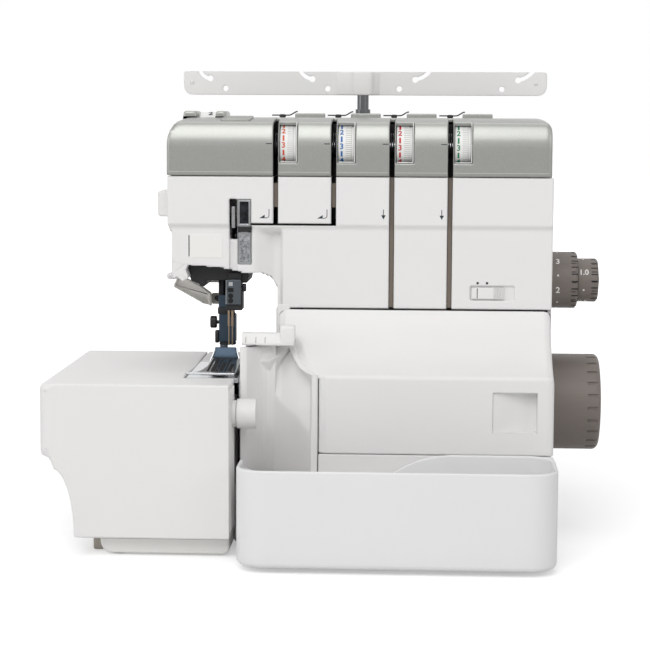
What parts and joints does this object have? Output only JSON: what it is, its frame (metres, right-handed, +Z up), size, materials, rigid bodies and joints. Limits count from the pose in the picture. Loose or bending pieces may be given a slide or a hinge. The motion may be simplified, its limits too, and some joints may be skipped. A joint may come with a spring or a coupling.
{
  "type": "serger overlock machine",
  "caption": "Household overlock sewing machine with tension dials in slots, hinged looper cover, swing-out side cover, waste tray and telescopic thread stand",
  "frame": {"origin": "centre of the overall box, on the table under the feet", "axes": "+X to the handwheel, +Y to the thread stand at the rear, +Z up; the operator sits at -Y"},
  "size_m": [0.3648, 0.286, 0.3136],
  "materials": {
    "white_shell": "satin moulded white",
    "silver_shell": "metallic silver paint with fine flake",
    "tray_white": "satin moulded white, translucent edge",
    "dial_white": "moulded white with a ribbed band",
    "taupe_grip": "fine textured taupe",
    "black_plastic": "moulded black",
    "black_rubber": "dull rubber",
    "grey_plastic": "light grey moulding",
    "frame_casting": "painted die casting",
    "polished_steel": "bright ground steel",
    "chrome_trim": "polished chrome",
    "dark_steel": "blackened steel",
    "blue_steel": "dark blue-grey steel",
    "lamp_lens": "frosted lens"
  },
  "bodies": {
    "root": {"base_plate": "white_shell", "rubber_feet": "black_rubber", "machine_frame": "frame_casting", "front_cover": "white_shell", "rear_cover": "white_shell", "top_cover": "silver_shell", "thread_channels": "black_plastic", "tension_discs": "polished_steel", "spindles_and_pins": "polished_steel", "head_bracket": "black_plastic", "thread_guide_plate": "chrome_trim", "thread_cutter": "white_shell", "scrap_chute": "white_shell", "seam_guide": "white_shell", "bed_cover": "white_shell", "needle_plate": "polished_steel", "lower_knife": "polished_steel", "motor": "black_plastic", "drive_belt": "black_rubber", "power_inlet": "black_plastic", "spool_stand": "white_shell", "spool_pins": "polished_steel", "cone_holders": "white_shell", "guide_pole": "polished_steel", "top_thread_guides": "dark_steel", "lamp": "lamp_lens", "case_screws": "polished_steel"},
    "drive": {"main_shaft": "polished_steel", "handwheel": "taupe_grip"},
    "motor_rotor": {"motor_pulley": "polished_steel"},
    "needle_bar": {"needle_bar": "polished_steel", "needle_clamp": "polished_steel", "needles": "polished_steel"},
    "presser": {"presser_bar": "polished_steel", "presser_foot_ankle": "blue_steel", "presser_foot": "polished_steel"},
    "presser_lifter": {"presser_lifter": "grey_plastic"},
    "take_up_lever": {"take_up_lever": "chrome_trim"},
    "cover_rod": {"looper_cover_rod": "polished_steel"},
    "looper_cover": {"looper_cover": "white_shell"},
    "side_cover": {"side_cover": "white_shell"},
    "waste_tray": {"waste_tray": "tray_white"},
    "upper_knife": {"upper_knife": "dark_steel"},
    "knife_knob": {"knife_knob": "white_shell"},
    "upper_looper": {"upper_looper": "polished_steel"},
    "lower_looper": {"lower_looper": "polished_steel"},
    "main_feed_dog": {"main_feed_dog": "polished_steel"},
    "differential_feed_dog": {"differential_feed_dog": "polished_steel"},
    "stitch_length_dial": {"stitch_length_dial": "taupe_grip"},
    "differential_dial": {"differential_dial": "taupe_grip"},
    "tension_slider": {"tension_slider": "white_shell"},
    "power_switch": {"power_switch": "black_plastic"},
    "pole_middle": {"guide_pole_middle": "polished_steel"},
    "pole_top": {"guide_pole_top": "chrome_trim"},
    "guide_bar": {"guide_bar": "white_shell"},
    "tension_dial_1": {"tension_dial_1": "dial_white"},
    "tension_dial_2": {"tension_dial_2": "dial_white"},
    "tension_dial_3": {"tension_dial_3": "dial_white"},
    "tension_dial_4": {"tension_dial_4": "dial_white"},
    "foot_pressure_dial": {"foot_pressure_dial": "dial_white"}
  },
  "joints": [
    {"name": "handwheel_turn", "type": "hinge", "parent": "root", "child": "drive", "pos_m": [0.146, 0.024, 0.086], "axis": [1, 0, 0], "continuous": true},
    {"name": "motor_turn", "type": "hinge", "parent": "root", "child": "motor_rotor", "pos_m": [0.12, 0.038, 0.042], "axis": [1, 0, 0], "continuous": true},
    {"name": "needle_bar_slide", "type": "slide", "parent": "root", "child": "needle_bar", "axis": [0, 0, 1], "range_m": [-0.024, 0]},
    {"name": "take_up_swing", "type": "hinge", "parent": "root", "child": "take_up_lever", "pos_m": [-0.0655, 0.008, 0.214], "axis": [1, 0, 0], "range_deg": [0, 21]},
    {"name": "upper_looper_swing", "type": "hinge", "parent": "root", "child": "upper_looper", "pos_m": [-0.064, -0.028, 0.044], "axis": [1, 0, 0], "range_deg": [-12, 0]},
    {"name": "lower_looper_swing", "type": "hinge", "parent": "root", "child": "lower_looper", "pos_m": [-0.082, -0.002, 0.044], "axis": [1, 0, 0], "range_deg": [0, 10]},
    {"name": "upper_knife_slide", "type": "slide", "parent": "root", "child": "upper_knife", "axis": [0, 0, 1], "range_m": [-0.008, 0]},
    {"name": "main_feed_slide", "type": "slide", "parent": "root", "child": "main_feed_dog", "axis": [0, 1, 0], "range_m": [-0.003, 0]},
    {"name": "differential_feed_slide", "type": "slide", "parent": "root", "child": "differential_feed_dog", "axis": [0, 1, 0], "range_m": [-0.003, 0]},
    {"name": "presser_lift", "type": "slide", "parent": "root", "child": "presser", "axis": [0, 0, 1], "range_m": [0, 0.0055]},
    {"name": "lifter_turn", "type": "hinge", "parent": "root", "child": "presser_lifter", "pos_m": [-0.0891, 0.048, 0.1616], "axis": [0, 1, 0], "range_deg": [-45, 0]},
    {"name": "looper_cover_slide", "type": "slide", "parent": "root", "child": "cover_rod", "axis": [1, 0, 0], "range_m": [0, 0.006]},
    {"name": "looper_cover_open", "type": "hinge", "parent": "cover_rod", "child": "looper_cover", "pos_m": [0.066, -0.0755, 0.0725], "axis": [1, 0, 0], "range_deg": [0, 85]},
    {"name": "side_cover_swing", "type": "hinge", "parent": "root", "child": "side_cover", "pos_m": [-0.169, 0.054, 0.06], "axis": [0, 0, 1], "range_deg": [-75, 0]},
    {"name": "tray_slide", "type": "slide", "parent": "root", "child": "waste_tray", "axis": [0, -1, 0], "range_m": [0, 0.06]},
    {"name": "tension_dial_1_turn", "type": "hinge", "parent": "root", "child": "tension_dial_1", "pos_m": [-0.0308, -0.02, 0.2628], "axis": [1, 0, 0], "range_deg": [-90, 150]},
    {"name": "tension_dial_2_turn", "type": "hinge", "parent": "root", "child": "tension_dial_2", "pos_m": [0.0076, -0.02, 0.2628], "axis": [1, 0, 0], "range_deg": [-90, 150]},
    {"name": "tension_dial_3_turn", "type": "hinge", "parent": "root", "child": "tension_dial_3", "pos_m": [0.046, -0.02, 0.2628], "axis": [1, 0, 0], "range_deg": [-90, 150]},
    {"name": "tension_dial_4_turn", "type": "hinge", "parent": "root", "child": "tension_dial_4", "pos_m": [0.0844, -0.02, 0.2628], "axis": [1, 0, 0], "range_deg": [-90, 150]},
    {"name": "foot_pressure_turn", "type": "hinge", "parent": "root", "child": "foot_pressure_dial", "pos_m": [-0.085, 0.009, 0.272], "axis": [1, 0, 0], "range_deg": [-90, 90]},
    {"name": "stitch_length_turn", "type": "hinge", "parent": "root", "child": "stitch_length_dial", "pos_m": [0.156, 0.024, 0.1705], "axis": [1, 0, 0], "range_deg": [-120, 90]},
    {"name": "differential_turn", "type": "hinge", "parent": "root", "child": "differential_dial", "pos_m": [0.174, 0.024, 0.1705], "axis": [1, 0, 0], "range_deg": [-60, 120]},
    {"name": "tension_slider_slide", "type": "slide", "parent": "root", "child": "tension_slider", "axis": [1, 0, 0], "range_m": [0, 0.0063]},
    {"name": "knife_knob_turn", "type": "hinge", "parent": "root", "child": "knife_knob", "pos_m": [-0.051, -0.088, 0.092], "axis": [1, 0, 0], "range_deg": [0, 90]},
    {"name": "pole_middle_slide", "type": "slide", "parent": "root", "child": "pole_middle", "axis": [0, 0, 1], "range_m": [0, 0.08]},
    {"name": "pole_top_slide", "type": "slide", "parent": "pole_middle", "child": "pole_top", "axis": [0, 0, 1], "range_m": [0, 0.08]},
    {"name": "guide_bar_turn", "type": "hinge", "parent": "pole_top", "child": "guide_bar", "pos_m": [0.0168, 0.077, 0.3], "axis": [0, 0, 1], "range_deg": [-90, 90]},
    {"name": "power_switch_rock", "type": "hinge", "parent": "root", "child": "power_switch", "pos_m": [0.142, 0.045, 0.045], "axis": [0, 1, 0], "range_deg": [-6, 6]}
  ],
  "couplings": [
    {"joint": "motor_turn", "follows": "handwheel_turn", "ratio": 2.5},
    {"joint": "take_up_swing", "follows": "needle_bar_slide", "rad_per_m": -14.5},
    {"joint": "upper_looper_swing", "follows": "needle_bar_slide", "rad_per_m": 8.7},
    {"joint": "lower_looper_swing", "follows": "needle_bar_slide", "rad_per_m": -7.2},
    {"joint": "upper_knife_slide", "follows": "needle_bar_slide", "ratio": 0.33},
    {"joint": "main_feed_slide", "follows": "needle_bar_slide", "ratio": 0.12},
    {"joint": "differential_feed_slide", "follows": "needle_bar_slide", "ratio": 0.12},
    {"joint": "lifter_turn", "follows": "presser_lift", "rad_per_m": -142}
  ]
}
